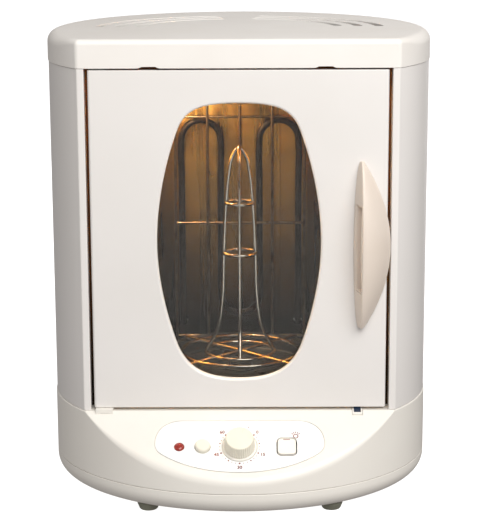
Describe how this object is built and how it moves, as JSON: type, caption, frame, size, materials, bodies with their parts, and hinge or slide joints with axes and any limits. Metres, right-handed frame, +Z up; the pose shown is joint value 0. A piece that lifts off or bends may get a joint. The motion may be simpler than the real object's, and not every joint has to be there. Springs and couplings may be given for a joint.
{
  "type": "rotisserie oven",
  "caption": "Upright oval worktop rotisserie oven with a windowed side-hung door, sloping control face, turning drip pan and wire poultry rack.",
  "frame": {"origin": "on the supporting surface, under the middle of the oval body", "axes": "+Z up, -Y out of the front door, +X to the right as seen from the front"},
  "size_m": [0.3632, 0.316, 0.4424],
  "materials": {
    "white_plastic": "moulded, semi-gloss",
    "white_enamel": "baked enamel, semi-gloss",
    "cream_plastic": "moulded, satin",
    "panel_print": "printed film, satin",
    "grey_rubber": "moulded, matt",
    "gold_sheet": "heat-tinted bright sheet",
    "steel": "plain",
    "chrome": "bright plated wire",
    "dark_enamel": "non-stick coating, satin",
    "glass": "clear, polished",
    "red_lens": "translucent, polished",
    "dark_plastic": "moulded, satin",
    "ceramic": "unglazed ceramic",
    "heater": "oxidised sheath"
  },
  "bodies": {
    "housing": {"top_cover": "white_plastic", "base_housing": "white_plastic", "bottom_pan": "white_plastic", "lower_hinge_bracket": "white_plastic", "catch_holder": "white_plastic", "timer_bezel": "white_plastic", "body_wrap": "white_enamel", "control_plate": "panel_print", "foot_front_left": "grey_rubber", "foot_front_right": "grey_rubber", "foot_rear_left": "grey_rubber", "foot_rear_right": "grey_rubber", "cavity_liner": "gold_sheet", "cavity_floor": "gold_sheet", "cavity_ceiling": "gold_sheet", "front_frame": "gold_sheet", "heat_reflector": "gold_sheet", "upper_hinge_bracket": "steel", "element_guard": "steel", "lower_hinge_pin": "steel", "upper_hinge_pin": "steel", "timer_body": "steel", "gear_motor": "steel", "wrap_screw_left": "steel", "wrap_screw_right": "steel", "pan_screw_front_left": "steel", "pan_screw_front_right": "steel", "pan_screw_rear_left": "steel", "pan_screw_rear_right": "steel", "lamp_cover": "glass", "lamp_bulb": "glass", "indicator_lens": "red_lens", "magnetic_catch": "dark_plastic", "motor_switch": "dark_plastic", "lamp_switch": "dark_plastic", "cord_gland": "dark_plastic", "element_bush_left": "ceramic", "element_bush_right": "ceramic", "lamp_socket": "ceramic", "thermal_cutout": "ceramic", "terminal_block": "ceramic", "heating_element": "heater"},
    "door": {"door_panel": "white_enamel", "door_glass": "glass", "glass_retainer": "gold_sheet", "door_handle": "cream_plastic", "handle_insert": "cream_plastic", "handle_screw_lower": "steel", "handle_screw_upper": "steel"},
    "turntable": {"drive_shaft": "steel", "drive_coupling": "steel"},
    "pan": {"drip_pan": "dark_enamel", "pan_boss": "dark_enamel"},
    "rack": {"poultry_rack": "chrome"},
    "timer_dial": {"timer_knob": "white_plastic", "timer_shaft": "steel"},
    "motor_push": {"motor_button": "white_plastic"},
    "lamp_rocker": {"lamp_button": "white_plastic"}
  },
  "joints": [
    {"name": "door_hinge", "type": "hinge", "parent": "housing", "child": "door", "pos_m": [-0.1295, -0.085, 0.25], "axis": [0, 0, -1], "range_deg": [0, 105]},
    {"name": "turntable_spin", "type": "hinge", "parent": "housing", "child": "turntable", "pos_m": [0, 0.012, 0.1], "axis": [0, 0, 1], "continuous": true},
    {"name": "pan_lift", "type": "slide", "parent": "turntable", "child": "pan", "axis": [0, 0, 1], "range_m": [0, 0.012]},
    {"name": "rack_lift", "type": "slide", "parent": "pan", "child": "rack", "axis": [0, 0, 1], "range_m": [0, 0.05]},
    {"name": "timer_turn", "type": "hinge", "parent": "housing", "child": "timer_dial", "pos_m": [0, -0.12681, 0.06424], "axis": [0, 0.5948, -0.8039], "range_deg": [0, 295]},
    {"name": "motor_push_slide", "type": "slide", "parent": "housing", "child": "motor_push", "axis": [0, 0.5948, -0.8039], "range_m": [0, 0.003], "stiffness_N_per_m": 300},
    {"name": "lamp_rocker_tilt", "type": "hinge", "parent": "housing", "child": "lamp_rocker", "pos_m": [0.0438, -0.12502, 0.06183], "axis": [1, 0, 0], "range_deg": [0, 10]}
  ]
}
